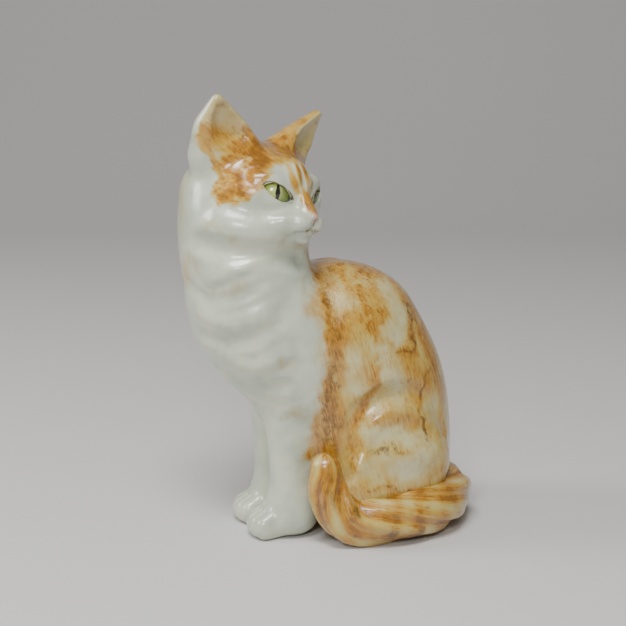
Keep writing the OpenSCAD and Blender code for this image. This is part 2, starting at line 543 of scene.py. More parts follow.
TOE_STROKES = [
    ([(LEG_X + gap, -93, 8), (LEG_X + gap, -88, 15), (LEG_X + gap * 0.8, -80, 19)], 2.2, -1.3, True)
    for gap in (-6.8, 0, 6.8)
]
HEAD_STROKES = [
    ([(6, -42, -37), (-14, -42, -37), (-32, -34, -38), (-46, -18, -38), (-52, 2, -36)], 13, -5.5, False),
    ([(-18, -36, -20), (-34, -26, -21), (-46, -10, -20)], 13, 2.4, False),
    ([(18, -28, -20), (30, -12, -20)], 14, 2.5, True),
    ([(30, -22, 12), (38, -8, 6)], 10, -0.8, True),
]
FACE_STROKES = [
    ([(8, -40, 13), (19, -36, 15), (29, -24, 12)], 7, 1.8, True),
    ([(0, -36, 22), (0, -42, 12)], 5, -0.8, False),
    ([(8, -43, 3), (9, -44, -3)], 4.5, -1.2, True),
    ([(14, -40, -9), (25, -30, -7)], 6, -0.8, True),
    ([(18, -40, -14)], 10, 1.6, True),
    ([(5, -51, -14), (9, -47, -15)], 5, 0.6, True),
    ([(0, -54, -9)], 4, 1.2, False),
    ([(2.4, -56, -10.4), (3.8, -54, -9.6)], 1.5, -1.3, True),
    ([(0, -55, -12), (0, -53, -17)], 2.4, -1.6, False),
    ([(0, -52, -18), (4, -51, -20), (9, -46, -20.5)], 2.8, -2, True),
    ([(0, -46, -25)], 8, 2, False),
]


def part_of(cast, name, keep=(), remove=()):
    """A piece of the casting: what lies inside every keep mass and outside every remove mass."""
    piece = linked(name, cast.data.copy())
    for mass in keep:
        piece = combined(piece, mass, "INTERSECT")
    for mass in remove:
        piece = combined(piece, mass, "DIFFERENCE")
    return piece


def finished(piece, node, material):
    """Moves a drawn piece into the model's frame, and puts it in its node's place."""
    piece.data.transform(TO_MODEL)
    piece.data.materials.clear()
    piece.data.materials.append(material)
    piece.data.shade_smooth()
    piece.data.set_sharp_from_angle(angle=math.radians(CREASE))
    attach(piece, "root")
    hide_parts(node)


# ---- paint
# Paint strokes: path, radius, amount. On the flanks a place is (y, z), wherever the flank stands
# in x. Round the head it is (degrees from the ear's side to the nose, z). On the crown and the
# face it is in the head's own frame, and on the tail in the drawn frame.
MIDDLE_STREAK = [(-13, 172), (-15, 165), (-7, 157), (-1, 153), (-12, 149), (-6, 146), (-6, 139), (3, 134),
                 (-6, 127), (-10, 117), (-9, 107), (-14, 100), (-19, 90), (-22, 81)]
FLANK_GINGER_AND_FOLD_SHADE = [
    ([(-38, 194), (-35, 150), (-37, 100), (-39, 60)], 8, 0.95),
    ([(-44, 78), (-45, 60)], 6, 0.8),
    ([(-24, 186), (-20, 145)], 13, 0.55),
    ([(-38, 142), (-32, 138)], 4, 1.0),
    (MIDDLE_STREAK, 3.4, 1.0),
    ([(20, 162), (23, 145), (22, 125)], 4, 0.95),
    ([(22, 128), (4, 130), (-8, 127)], 4, 0.9),
    ([(32, 110), (26, 92), (26, 66)], 4, 0.85),
    ([(-8, 84), (10, 84), (26, 78)], 6, 0.9),
    ([(30, 82), (28, 68)], 6, 0.9),
    ([(-26, 84), (-24, 70), (-22, 52)], 4, 0.75),
    ([(-12, 64), (8, 63)], 4, 0.6),
    ([(-34, 168), (-4, 160)], 16, 0.75),
    ([(-34, 130), (-6, 112)], 14, 0.75),
    ([(10, 120), (28, 100)], 14, 0.78),
    ([(14, 66), (34, 50)], 12, 0.7),
    ([(-20, 40), (4, 35), (30, 32)], 4, 0.7),
    ([(-46, 197), (-24, 181)], 5, 0.95),
    ([(-24, 191), (6, 178)], 5, 0.95),
    ([(-12, 182), (12, 166)], 4, 0.8),
    ([(16, 172), (30, 150), (38, 126), (46, 92)], 6, 0.9),
    ([(46, 84), (50, 52)], 7, 0.7),
    ([(0, 110), (10, 96)], 5, 0.6),
    ([(-128, 206), (-132, 180)], 7, 0.5),
    # These three faint tan strokes across the chest's front lie in its folds: painted shade in the creases.
    ([(-112, 176), (-98, 181)], 4, 0.32),
    ([(-72, 128), (-60, 125)], 4, 0.3),
    ([(-64, 90), (-52, 92)], 5, 0.3),
    ([(-30, 120), (-28, 96)], 5, 0.55),
]
FLANK_BARE = [
    ([(6, 142), (-2, 132)], 7, 0.8),
    ([(8, 168), (14, 154)], 6, 0.7),
    ([(0, 114), (6, 102)], 7, 0.6),
    ([(-24, 128), (-24, 112)], 6, 0.6),
    ([(36, 88), (34, 78)], 6, 0.7),
    ([(-12, 74), (10, 74), (24, 68)], 5, 0.7),
    ([(-8, 54), (12, 50), (30, 58)], 7, 0.7),
    ([(-30, 176), (-28, 164)], 5, 0.5),
]
FLANK_BROWN = [
    ([(-38, 172), (-37, 140), (-38, 110), (-38, 70)], 4.5, 0.72),
    ([(-38, 112), (-38, 80)], 6, 0.85),
    (MIDDLE_STREAK, 1.7, 0.5),
    ([(21, 158), (24, 145), (22, 126)], 2.2, 0.85),
    ([(22, 128), (8, 130)], 2, 0.8),
    ([(32, 110), (27, 96)], 2.2, 0.9),
    ([(26, 84), (26, 68)], 2.2, 0.9),
    ([(-12, 65), (-3, 62)], 2.4, 0.75),
    ([(2, 66), (9, 63)], 2.2, 0.75),
    ([(-16, 40), (4, 36), (24, 32)], 1.6, 0.8),
    ([(-25, 80), (-23, 60)], 1.5, 0.6),
    ([(-40, 193), (-28, 184)], 1.8, 0.6),
    ([(-16, 188), (2, 180)], 1.8, 0.6),
    ([(24, 158), (34, 134), (42, 104)], 1.8, 0.6),
]
TAIL_BROWN = [
    ([(72, -4, 10)], 5, 1.1),
    ([(68, 16, 10)], 5, 1.1),
    ([(66, -30, 22), (66, -26, 34)], 4, 1.0),
    ([(74, 10, 24), (70, 26, 26)], 3, 0.6),
    ([(66, -44, 30), (62, -46, 50)], 3, 0.7),
]
HEAD_GINGER = [
    ([(16, 33), (34, 30), (44, 26), (40, 20)], 10, 1.15),
    ([(45, 33), (65, 33), (90, 33)], 8, 0.95),
    ([(30, 27), (42, 24)], 6, 1.45),
    ([(22, 8), (27, 3)], 4, 1.4),
    ([(12, 20), (22, 10), (16, 0)], 8, 1.0),
    ([(38, 24), (35, 4)], 6, 1.0),
    ([(-6, 34), (-2, 20), (6, 6)], 3, 0.8),
    ([(10, -22)], 5, 0.3),
    ([(24, -30)], 5, 0.35),
    ([(-76, 26), (-66, 4), (-72, -16)], 13, 0.55),
    ([(-46, 14), (-48, -12)], 6, 0.4),
]
CROWN_GINGER = [
    ([(0, -22, 36), (0, 4, 38), (0, 26, 32)], 16, 1.1),
    ([(3, -34, 28), (3.5, -42, 14), (2.5, -47, 2)], 3, 1.15),
    ([(10, -32, 26), (10.5, -40, 16), (8, -43, 7), (4, -50, -3)], 3.4, 1.15),
    ([(0, -46, 4), (0, -52, -5)], 4, 1.0),
    ([(12, -30, 28), (22, -22, 28)], 6, 1.0),
]
CROWN_BROWN = [
    ([(3, -36, 28), (3.5, -42, 14)], 1.2, 0.75),
    ([(10, -38, 20), (9, -42, 9)], 1.2, 0.7),
    ([(6, -22, 37), (4, 6, 39)], 1.6, 0.6),
    ([(14, -18, 35), (12, 6, 37)], 1.6, 0.55),
    ([(2.4, -56, -10.4), (3.8, -54, -9.6)], 1.4, 1.6),
    ([(0, -54, -12), (0, -52, -17)], 1.5, 1.5),
    ([(0, -51, -18), (4, -50, -20)], 1.5, 1.2),
    ([(4, -50, -20), (9, -45, -20.5)], 1.3, 0.6),
    ([(6, -53, -14), (13, -46, -13)], 1.1, 0.5),
    ([(48, -6, 54), (44, -7, 48)], 5, 0.6),
    ([(26, -14, 38), (38, -12, 40)], 3, 0.45),
    ([(40, -8, 32), (30, -10, 30)], 4, 0.5),
]
CROWN_BLUSH = [
    ([(0, -55, -8), (0, -55, -10)], 4, 1.0),
    ([(0, -56, -18), (6, -52, -20)], 2, 0.5),
]


def wobble(co, length, amount, seed):
    """A smooth random drift of each point, so that painted edges are never ruled."""
    rng = np.random.default_rng(seed)
    drift = np.zeros_like(co)
    for _ in range(14):
        heading = rng.normal(size=3)
        wave = co @ (heading / np.linalg.norm(heading)) * (math.tau / (length * rng.uniform(0.5, 1.8)))
        drift += np.sin(wave + rng.uniform(0, math.tau))[:, None] * rng.normal(size=3)
    return drift * (amount / 3.7)


def laid_on(places, strokes, spread=1.6):
    """How much paint strokes of a brush leave at each place."""
    laid = np.zeros(len(places))
    for path, radius, amount in strokes:
        mark = amount * (1 - ease(nearness(places, path), radius * 0.4, radius * spread))
        laid = np.maximum(laid, mark)
    return laid


def flank_places(co):
    """(y, z) on the flanks; the right flank's pattern sits a little higher and further forward."""
    right = ease(-co[:, 0], 0, 30)
    return np.stack([co[:, 1] + 4 * right, co[:, 2] - 3 * right], 1)


def head_places(head):
    """Places round the head, as in_degrees gives them, the same on both sides."""
    turn = np.degrees(np.arctan2(-head[:, 1], np.abs(head[:, 0])))
    return np.stack([turn * MM_PER_DEGREE, head[:, 2]], 1)


def in_degrees(strokes):
    """The strokes with their degrees turned into millimetres round the head."""
    return [([(turn * MM_PER_DEGREE, z) for turn, z in path], radius, amount)
            for path, radius, amount in strokes]


def lid_lines(co):
    """The painted lines round the eye openings: dark above, fainter below."""
    dark = np.zeros(len(co))
    for side in (-1, 1):
        eye = inside_frame(co, eye_frame(side))
        up = eye[:, 1] - OPENING_SLANT * eye[:, 0] / OPENING_HALF
        reach = np.where(up > 0, OPENING_TOP, OPENING_FOOT)
        ring = np.hypot(eye[:, 0] / OPENING_HALF, up / reach)
        line = (1 - ease(np.abs(ring - 1.04), 0.04, 0.14)) * (np.abs(eye[:, 2]) < 9)
        dark = np.maximum(dark, line * np.where(up > 0, 1.2, 0.5))
    return dark


def ear_paint(mesh, head):
    """Ginger, blush and wash on both ears and the head just under them."""
    turn = math.radians(EAR_FACE_TURN)
    normals = normals_of(mesh) @ np.array(head_frame().to_3x3())
    side = np.sign(head[:, 0])
    facing = normals[:, 0] * side * math.sin(turn) - normals[:, 1] * math.cos(turn)
    inside = ease(facing, 0.4, 0.7)
    height = head[:, 2]
    near = ease(height, 22, 32) * ease(np.abs(head[:, 0]), 10, 18)
    outer = ease(np.abs(head[:, 0]) - (30 + (height - 20) * 0.55), -6, 4)
    lower = 1 - ease(height, 36, 56)
    cup = np.where(side < 0, 0.12 + 0.45 * lower + 0.25 * outer, 0.1 + 0.2 * lower)
    ginger = inside * cup + (1 - inside) * (1 - outer) * 0.8
    blush = inside * 0.22 * ease(height, 34, 48)
    return {"ginger": near * ginger, "blush": near * blush, "wash": near * np.maximum(inside, 1 - outer)}


def hair_places(co, head):
    """Places across and along the hair, which fans out from the nose and leans on the body."""
    from_nose = head - np.array((0, -58, -12))
    away = np.linalg.norm(from_nose, axis=1)
    fan = from_nose / away[:, None] * 45
    on_head = np.stack([fan[:, 0], fan[:, 2], away * HAIR_STRETCH], 1)
    lean = co[:, 1] + 0.25 * co[:, 2]
    on_body = np.stack([lean, co[:, 0], (co[:, 2] - 0.25 * co[:, 1]) * HAIR_STRETCH], 1)
    share = ease(co[:, 2], 200, 204)[:, None]
    return on_head * share + on_body * (1 - share)


def painted(piece):
    """Lays the colours on a piece of the casting, while it is still in the drawn frame."""
    mesh = piece.data
    co = points_of(mesh)
    head = inside_frame(co, head_frame())
    one_side = np.abs(head[:, :1]) * (1, 0, 0) + head * (0, 1, 1)
    round_head = head_places(head + wobble(head, 12, 2.4, 5) + wobble(head, 4, 0.9, 6))
    on_head = ease(co[:, 2], 192, 212) * ease(-head[:, 1] - head[:, 2] * 0.3, -70, -50)
    height = co[:, 2] + wobble(co, 20, 4, 9)[:, 0]
    body = 1 - ease(height, 184, 216)
    flank = ease(co[:, 1] + 0.15 * np.abs(co[:, 0]), -46, -26) * body
    low = flank_places(co + wobble(co, 16, 1.5, 3) + wobble(co, 5, 0.6, 4))
    ears = ear_paint(mesh, head)
    # Ginger fur on the flanks, plus faint tan painted shade in the chest's folds.
    ginger = laid_on(low, FLANK_GINGER_AND_FOLD_SHADE, 2.2) * np.maximum(body, ease(co[:, 1], -56, -46))
    spared = laid_on(low, FLANK_BARE, 2.4)
    ginger = np.maximum(ginger, flank * 0.6) * (1 - 0.6 * spared)
    brown = laid_on(flank_places(co + wobble(co, 16, 1.5, 3) + wobble(co, 5, 1.0, 7)), FLANK_BROWN) * body
    wash = flank * (1 - 0.35 * spared)
    round_ginger = laid_on(round_head, in_degrees(HEAD_GINGER)) * on_head
    ginger = np.maximum.reduce([ginger, round_ginger, laid_on(one_side, CROWN_GINGER) * on_head])
    brown = np.maximum.reduce([brown, laid_on(one_side, CROWN_BROWN) * on_head, lid_lines(co)])
    ginger = np.maximum(ginger, ears["ginger"])
    blush = np.maximum(laid_on(one_side, CROWN_BLUSH), ears["blush"])
    wash = np.maximum.reduce([wash, ears["wash"], np.clip(ginger * 1.2, 0, 1) * on_head,
                              0.45 * ease(head[:, 1], 4, 30) * on_head])
    lay_layers(mesh, ginger, brown, blush, wash, hair_places(co, head))
    return piece


def lay_layers(mesh, ginger, brown, blush, wash, strand):
    """Stores each point's share of each colour, and its place in the hair."""
    for name, laid in (("ginger", ginger), ("brown", brown), ("blush", blush), ("wash", wash)):
        mesh.attributes.new(name, "FLOAT", "POINT").data.foreach_set("value", laid.astype(np.float32))
    hair = mesh.attributes.new("strand", "FLOAT_VECTOR", "POINT")
    hair.data.foreach_set("vector", strand.astype(np.float32).ravel())


def along_tail(co):
    """For each point: how far along the tail it is, and its angle round the tail's middle line."""
    line = curve_through(TAIL, 8)[:, :3]
    runs = line[1:] - line[:-1]
    lengths = np.linalg.norm(runs, axis=1)
    starts = np.concatenate([[0], np.cumsum(lengths)])
    best = np.full(len(co), 1e9)
    along = np.zeros(len(co))
    angle = np.zeros(len(co))
    side = np.array((0, 0, 1.0))
    for start, run, length, origin in zip(starts, runs, lengths, line):
        heading = run / length
        side = side - heading * (side @ heading)
        side = side / np.linalg.norm(side)
        t = np.clip((co - origin) @ run / (run @ run), 0, 1)
        gap = co - origin - t[:, None] * run
        away = np.linalg.norm(gap, axis=1)
        near = away < best
        best[near] = away[near]
        along[near] = start + t[near] * length
        angle[near] = np.arctan2(gap[near] @ np.cross(heading, side), gap[near] @ side)
    return along, angle


def comb_tail(mesh):
    """Presses slanting locks of hair into the tail."""
    co = points_of(mesh)
    along, angle = along_tail(co)
    slant = angle + along * TAIL_TWIST
    wave = np.sin(slant * 5) + 0.6 * np.sin(slant * 9 + 1 + along * 0.04)
    wave *= 1 - ease(along, along.max() - 16, along.max() - 2)
    put_points(mesh, co + normals_of(mesh) * (wave[:, None] * 0.9 - 1.3))


def paint_tail(mesh):
    """Lays ginger stripes along the tail's locks, and a few brown spots. The stripes follow the combed locks:
    darker ginger mostly in the grooves and paler cream on the ridges, partly painted fur and partly painted
    shade and painted highlight.
    """
    co = points_of(mesh)
    along, angle = along_tail(co)
    slant = angle + along * TAIL_TWIST
    # Stripes nearly opposite in phase to comb_tail's waves: real ginger stripes, plus painted shade in the
    # grooves and painted highlight on the ridges.
    ginger = (0.8 + 0.3 * np.sin(slant * 5 + 2.5) + 0.1 * np.sin(slant * 11 + along * 0.03)
              + 0.2 * ease(along, 120, 190))
    ginger += wobble(co, 22, 0.12, 8).sum(axis=1)
    spots = laid_on(co, TAIL_BROWN)
    strand = np.stack([np.cos(slant) * 20, np.sin(slant) * 20, along * HAIR_STRETCH], 1)
    lay_layers(mesh, ginger, spots, spots * 0, np.ones(len(co)), strand)


# ---- materials
class Wire:
    """A socket that Python arithmetic turns into Math nodes."""

    def __init__(self, sheet, socket):
        self.sheet = sheet
        self.socket = socket

    def _math(self, operation, *values):
        return self.sheet.node("ShaderNodeMath", {"operation": operation}, dict(enumerate(values)))

    def __add__(self, other):
        return self._math("ADD", self, other)

    __radd__ = __add__

    def __sub__(self, other):
        return self._math("SUBTRACT", self, other)

    def __rsub__(self, other):
        return self._math("SUBTRACT", other, self)

    def __mul__(self, other):
        return self._math("MULTIPLY", self, other)

    def __truediv__(self, other):
        return self._math("DIVIDE", self, other)

    def high(self, other):
        return self._math("MAXIMUM", self, other)

    def power(self, other):
        return self._math("POWER", self, other)

    def size(self):
        return self._math("ABSOLUTE", self)

    def step(self, low, high):
        """0 below low, 1 above high, smooth between."""
        return self.sheet.node("ShaderNodeMapRange", {"interpolation_type": "SMOOTHSTEP"},
                               {"Value": self, "From Min": low, "From Max": high})


class Sheet:
    """A material's node tree."""

    def __init__(self, name):
        self.material = bpy.data.materials.new(name)
        self.material.use_nodes = True
        self.tree = self.material.node_tree
        self.tree.nodes.clear()

    def node(self, kind, settings=None, values=None, out=0):
        made = self.tree.nodes.new(kind)
        for key, value in (settings or {}).items():
            setattr(made, key, value)
        for key, value in (values or {}).items():
            if isinstance(value, Wire):
                self.tree.links.new(value.socket, made.inputs[key])
            else:
                made.inputs[key].default_value = value
        return Wire(self, made.outputs[out])

    def layer(self, name):
        return self.node("ShaderNodeAttribute", {"attribute_name": name}, out="Fac")

    def place(self):
        return self.node("ShaderNodeTexCoord", out="Object")

    def noise(self, vector, scale, detail=2.0, rough=0.5):
        return self.node("ShaderNodeTexNoise", None,
                         {"Vector": vector, "Scale": scale, "Detail": detail, "Roughness": rough})

    def blend(self, amount, low, high):
        """A colour between two colours."""
        return self.node("ShaderNodeMix", {"data_type": "RGBA"},
                         {0: amount, 6: low if isinstance(low, Wire) else (*low, 1),
                          7: high if isinstance(high, Wire) else (*high, 1)}, out=2)

    def bump(self, height, distance, onto=None):
        values = {"Height": height, "Distance": distance, "Strength": 0.5}
        if onto is not None:
            values["Normal"] = onto
        return self.node("ShaderNodeBump", None, values)

    def surface(self, shader):
        output = self.tree.nodes.new("ShaderNodeOutputMaterial")
        self.tree.links.new(shader.socket, output.inputs["Surface"])
        return self.material

    def principled(self, values):
        return self.surface(self.node("ShaderNodeBsdfPrincipled", None, values))


def glaze(settings):
    """Painted slip under a clear glossy glaze."""
    sheet = Sheet("painted_glaze")
    place = sheet.place()
    strand = sheet.node("ShaderNodeAttribute", {"attribute_name": "strand"}, out="Vector")
    fine = sheet.noise(strand, 1.3, 3, 0.65)
    broad = sheet.noise(strand, 0.33, 3, 0.6)
    cloud = sheet.noise(place, 38, 3)
    ginger = sheet.layer("ginger")
    brown = sheet.layer("brown")
    blush = sheet.layer("blush")
    wash = sheet.layer("wash")
    dabs = sheet.noise(place, 210, 3, 0.6)
    patches = sheet.noise(place, 75, 2, 0.5)
    # The ginger layer also carries the faint painted shade in the chest's folds and the tail's painted groove
    # shade; the peach tint and the ginger hairs show both.
    tint = (ginger * 1.1 + (cloud - 0.5) * 0.8 + (patches - 0.5) * 0.5 + (broad - 0.5) * 0.4).step(0.15, 1.05)
    hairs = (ginger + (broad - 0.5) * 1.1 + (fine - 0.5) * 1.1 + (patches - 0.5) * 0.5).step(0.4, 1.25)
    ticks = (sheet.noise(strand, 0.75, 1, 0.5) + ginger * 0.16).step(0.68, 0.84) * wash
    deep = (ginger * 0.85 + (dabs - 0.5) * 1.3 + (broad - 0.5) * 1.3).step(0.68, 1.2)
    lines = (brown + (dabs - 0.5) * 1.5 + (fine - 0.5) * 1.3).step(0.35, 1.2)
    bare = sheet.blend(cloud.step(0.35, 0.7), settings.white[:], settings.pooled[:])
    colour = sheet.blend((wash + (cloud - 0.5) * 0.9 * wash).step(0.1, 1.2), bare, settings.cream[:])
    colour = sheet.blend(tint * 0.9, colour, settings.peach[:])
    colour = sheet.blend(blush * 0.8, colour, settings.pink[:])
    colour = sheet.blend(hairs * 0.8, colour, settings.ginger[:])
    colour = sheet.blend(ticks * 0.4, colour, settings.burnt[:])
    colour = sheet.blend((lines * 0.9).high(deep * 0.6), colour, settings.brown[:])
    ripple = sheet.bump(sheet.noise(place, 75, 2), 0.002)
    locks = sheet.bump(broad * (0.15 + wash), 0.0009, ripple)
    return sheet.principled({
        "Base Color": colour, "Roughness": 0.34 - hairs * 0.05, "IOR": 1.5,
        "Coat Weight": 0.85, "Coat Roughness": 0.17, "Coat IOR": 1.5, "Normal": locks})


def plain(name, colour, roughness, grain):
    """Unglazed fired clay or set cement, a little mottled and rough."""
    sheet = Sheet(name)
    place = sheet.place()
    cloud = sheet.noise(place, grain, 4, 0.6)
    dark = [c * 0.8 for c in colour[:]]
    tone = sheet.blend(cloud.step(0.3, 0.7), dark, colour[:])
    rough = sheet.bump(sheet.noise(place, grain * 8, 3), 0.0003)
    return sheet.principled({"Base Color": tone, "Roughness": roughness - cloud * 0.1, "Normal": rough})


def eye_glass_material():
    sheet = Sheet("eye_glass")
    clear = sheet.node("ShaderNodeBsdfTransparent", None, {"Color": (1, 1, 1, 1)})
    gloss = sheet.node("ShaderNodeBsdfGlossy", None, {"Color": (1, 1, 1, 1), "Roughness": 0.02})
    rim = sheet.node("ShaderNodeFresnel", None, {"IOR": 1.52})
    return sheet.surface(sheet.node("ShaderNodeMixShader", None, {0: rim, 1: clear, 2: gloss}))


def iris_material(settings, name, side):
    """Lime in the middle, olive at the edge, with a slit pupil, in the eye's own frame."""
    sheet = Sheet(name)
    place = sheet.place()
    onto = (TO_MODEL @ eye_frame(side)).inverted()
    across, up = [sheet.node("ShaderNodeVectorMath", {"operation": "DOT_PRODUCT"},
                             {0: place, 1: tuple(row[:3])}, out="Value") + row[3]
                  for row in (onto[0], onto[1])]
    ring = (across * across + up * up).power(0.5)
    angle = sheet.node("ShaderNodeMath", {"operation": "ARCTAN2"}, {0: across, 1: up})
    fleck = sheet.noise(sheet.node("ShaderNodeCombineXYZ", None, {0: angle * 6, 1: ring * 0.25}), 2.2, 3, 0.6)
    tone = (ring / LENS_R + (fleck - 0.5) * 0.35)
    colour = sheet.blend(tone.step(0.15, 0.75), settings.iris_light[:], settings.iris_dark[:])
    colour = sheet.blend((ring / LENS_R).step(0.86, 0.99), colour, (0.02, 0.025, 0.01))
    slit = across / (PUPIL_HALF - up.size() * PUPIL_TAPER).high(0.05)
    pupil = 1 - slit.size().step(0.8, 1.0)
    colour = sheet.blend(pupil, colour, (0.004, 0.004, 0.003))
    return sheet.principled({"Base Color": colour, "Roughness": 0.25 + fleck * 0.1, "Coat Weight": 0.6})


# ---- the stage
def lay_floor(settings):
    """A floor that sweeps up into the wall behind it."""
    bm = bmesh.new()
    profile = [Vector((0, -3.0, 0)), Vector((0, 1.2, 0))]
    profile += [Vector((0, 1.2 + math.sin(t), 1 - math.cos(t))) for t in np.radians(range(5, 91, 5))]
    profile.append(Vector((0, 2.2, 5)))
    verts = [bm.verts.new(point) for point in profile]
    edges = [bm.edges.new(pair) for pair in zip(verts, verts[1:])]
    swept = bmesh.ops.extrude_edge_only(bm, edges=edges)
    far_side = [v for v in swept["geom"] if isinstance(v, bmesh.types.BMVert)]
    bmesh.ops.translate(bm, vec=(8, 0, 0), verts=far_side)
    bmesh.ops.translate(bm, vec=(-4, 0, 0), verts=bm.verts[:])
    bmesh.ops.rotate(bm, matrix=Matrix.Rotation(math.radians(VIEW_TURN), 3, "Z"), verts=bm.verts[:])
    bmesh.ops.recalc_face_normals(bm, faces=bm.faces[:])
    floor = new_object("floor", bm)
    floor.data.shade_smooth()
    sheet = Sheet("pale_floor")
    cloud = sheet.noise(sheet.place(), 3, 3)
    tone = sheet.blend(cloud, settings.floor[:], [c * 0.97 for c in settings.floor[:]])
    floor.data.materials.append(sheet.principled({"Base Color": tone, "Roughness": 0.55}))


def light_it():
    world = bpy.data.worlds.new("studio")
    bpy.context.scene.world = world
    world.use_nodes = True
    colour, strength = world.node_tree.nodes["Background"].inputs[:2]
    colour.default_value = (1.0, 0.98, 0.93, 1)
    strength.default_value = 0.24
    softbox("key_light", -6, 28, 1.5, (0.34, 0.3), 8)
    softbox("fill_light", -88, 30, 1.5, (0.4, 0.7), 10)
    softbox("top_light", -12, 62, 1.6, (0.7, 0.5), 26)


def softbox(name, turn, rise, distance, size, power):
    """A light aimed at the middle of the cat; turn is counted from the camera's side."""
    lamp = bpy.data.lights.new(name, "AREA")
    lamp.shape = "RECTANGLE"
    lamp.size, lamp.size_y = size
    lamp.energy = power
    aimed(name, lamp, (0, 0, 0.15), VIEW_TURN + turn, rise, distance)


def aimed(name, data, aim, turn, rise, distance):
    """Places a light or camera round the cat, turned from its front to its left, to look at aim."""
    made = linked(name, data)
    turn, rise = math.radians(turn), math.radians(rise)
    out = Vector((math.sin(turn) * math.cos(rise), -math.cos(turn) * math.cos(rise), math.sin(rise)))
    made.location = Vector(aim) + out * distance
    made.rotation_euler = out.to_track_quat("Z", "Y").to_euler()
    return made


def place_camera():
    camera = bpy.data.cameras.new("camera")
    camera.lens = VIEW_LENS
    camera.sensor_width = 36
    camera.shift_x, camera.shift_y = VIEW_SHIFT
    bpy.context.scene.camera = aimed("camera", camera, VIEW_AIM, VIEW_TURN, VIEW_RISE, VIEW_AWAY)


# ---- settings and operators
def colour_property(name, default, description):
    return FloatVectorProperty(name=name, description=description, subtype="COLOR", size=3,
                               min=0, max=1, default=default)


class CatSettings(bpy.types.PropertyGroup):
    clay_grain: FloatProperty(name="Clay grain", description="Mesh size of the casting in millimetres",
                              default=1.2, min=0.8, max=3)
    sponge_rounds: IntProperty(name="Sponging", description="Passes that soften the casting's blends",
                               default=80, min=0, max=200)
    white: colour_property("White slip", (0.58, 0.61, 0.47), "Colour of the bare white glaze")
    pooled: colour_property("Pooled glaze", (0.45, 0.50, 0.40), "Colour where the white glaze is thick")
    cream: colour_property("Cream slip", (0.54, 0.44, 0.13), "Ground under the ginger fur")
    peach: colour_property("Peach wash", (0.52, 0.31, 0.035), "Thin ginger wash")
    ginger: colour_property("Ginger", (0.42, 0.145, 0.0), "Brushed ginger fur")
    burnt: colour_property("Burnt ginger", (0.25, 0.075, 0.0), "Single hairs drawn over the ginger")
    brown: colour_property("Brown", (0.12, 0.045, 0.0), "Darkest fur strokes")
    pink: colour_property("Pink", (0.56, 0.34, 0.27), "Nose and inner ears")
    iris_light: colour_property("Iris centre", (0.88, 1.0, 0.36), "Lime round the pupil")
    iris_dark: colour_property("Iris edge", (0.62, 0.74, 0.16), "Olive near the iris's edge")
    clay: colour_property("Clay", (0.70, 0.66, 0.58), "Unglazed base")
    cement: colour_property("Cement", (0.6, 0.58, 0.52), "Cement behind the eyes")
    floor: colour_property("Floor", (0.62, 0.61, 0.60), "Floor and backdrop")


def cad_finish(node, material):
    """Gives a node that stays as it is its material."""
    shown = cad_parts[node]
    shown.data.materials.clear()
    shown.data.materials.append(material)


class CAT_OT_cast(bpy.types.Operator):
    """Cast the torso, head, ears, legs and hind paw as one soft form"""
    bl_idname = "cat.cast"
    bl_label = "Cast"

    def execute(self, context):
        bench["cast"] = cast_body(context.scene.cat)
        bench["glaze"] = glaze(context.scene.cat)
        bench["core"] = remeshed(made_of(lambda bm: torso_beads(bm, -4), "core"), 2.5)
        bench["skull"] = remeshed(made_of(lambda bm: head_beads(bm, -3), "skull"), 2.5)
        bench["upper"] = slab((-SLAB_REACH, -SLAB_REACH, SEAM_Z), (SLAB_REACH, SLAB_REACH, 400))
        bench["left"] = slab((0, -SLAB_REACH, -50), (SLAB_REACH, SLAB_REACH, 180))
        bench["right"] = slab((-SLAB_REACH, -SLAB_REACH, -50), (0, SLAB_REACH, 180))
        for name, keys in (("left_leg", LEG), ("right_leg", mirrored(LEG))):
            leg = made_of(lambda bm, keys=keys: leg_beads(bm, keys, 4), name)
            bench[name] = combined(remeshed(leg, 2.0), bench["core"], "DIFFERENCE")
        paw = remeshed(made_of(lambda bm: add_flow(bm, HIND_PAW, grow=4), "paw"), 2.0)
        bench["paw"] = combined(paw, bench["core"], "DIFFERENCE")
        for name, side in (("left_ear", 1), ("right_ear", -1)):
            ear = remeshed(made_of(lambda bm, side=side: outer_ear(bm, side, 2), name), 2.0)
            bench[name] = combined(ear, bench["skull"], "DIFFERENCE")
        return {"FINISHED"}


class CAT_OT_torso(bpy.types.Operator):
    """Take the torso out of the casting, with a well for its base disc"""
    bl_idname = "cat.torso"
    bl_label = "Torso"

    def execute(self, context):
        low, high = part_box("base_disc")
        centre = TO_MODEL.inverted() @ ((low + high) / 2)
        well = bmesh.new()
        for radius, depth in DISC_SEAT:
            drawn = radius / 1000 / UNIT
            bmesh.ops.create_cone(well, cap_ends=True, segments=96, radius1=drawn, radius2=drawn,
                                  depth=2 * depth, matrix=Matrix.Translation((centre.x, centre.y, 0)))
        well = remeshed(new_object("well", well), 0.8)
        torso = part_of(bench["cast"], "torso", remove=[
            bench["upper"], bench["left_leg"], bench["right_leg"], bench["paw"], well])
        discard(well)
        finished(painted(torso), "torso_shell", bench["glaze"])
        return {"FINISHED"}


class CAT_OT_head(bpy.types.Operator):
    """Take the head out of the casting and open its eyes"""
    bl_idname = "cat.head"
    bl_label = "Head"

    def execute(self, context):
        openings = [made_of(lambda bm, side=side: almond(bm, side), "opening") for side in (1, -1)]
        head = part_of(bench["cast"], "head", keep=[bench["upper"]],
                       remove=[bench["left_ear"], bench["right_ear"], *openings])
        discard(*openings)
        finished(painted(head), "head_shell", bench["glaze"])
        return {"FINISHED"}


class CAT_OT_ears(bpy.types.Operator):
    """Take the cupped ears out of the casting"""
    bl_idname = "cat.ears"
    bl_label = "Ears"

    def execute(self, context):
        for name in ("left_ear", "right_ear"):
            ear = part_of(bench["cast"], "cupped_" + name, keep=[bench[name]])
            finished(painted(ear), name, bench["glaze"])
        return {"FINISHED"}


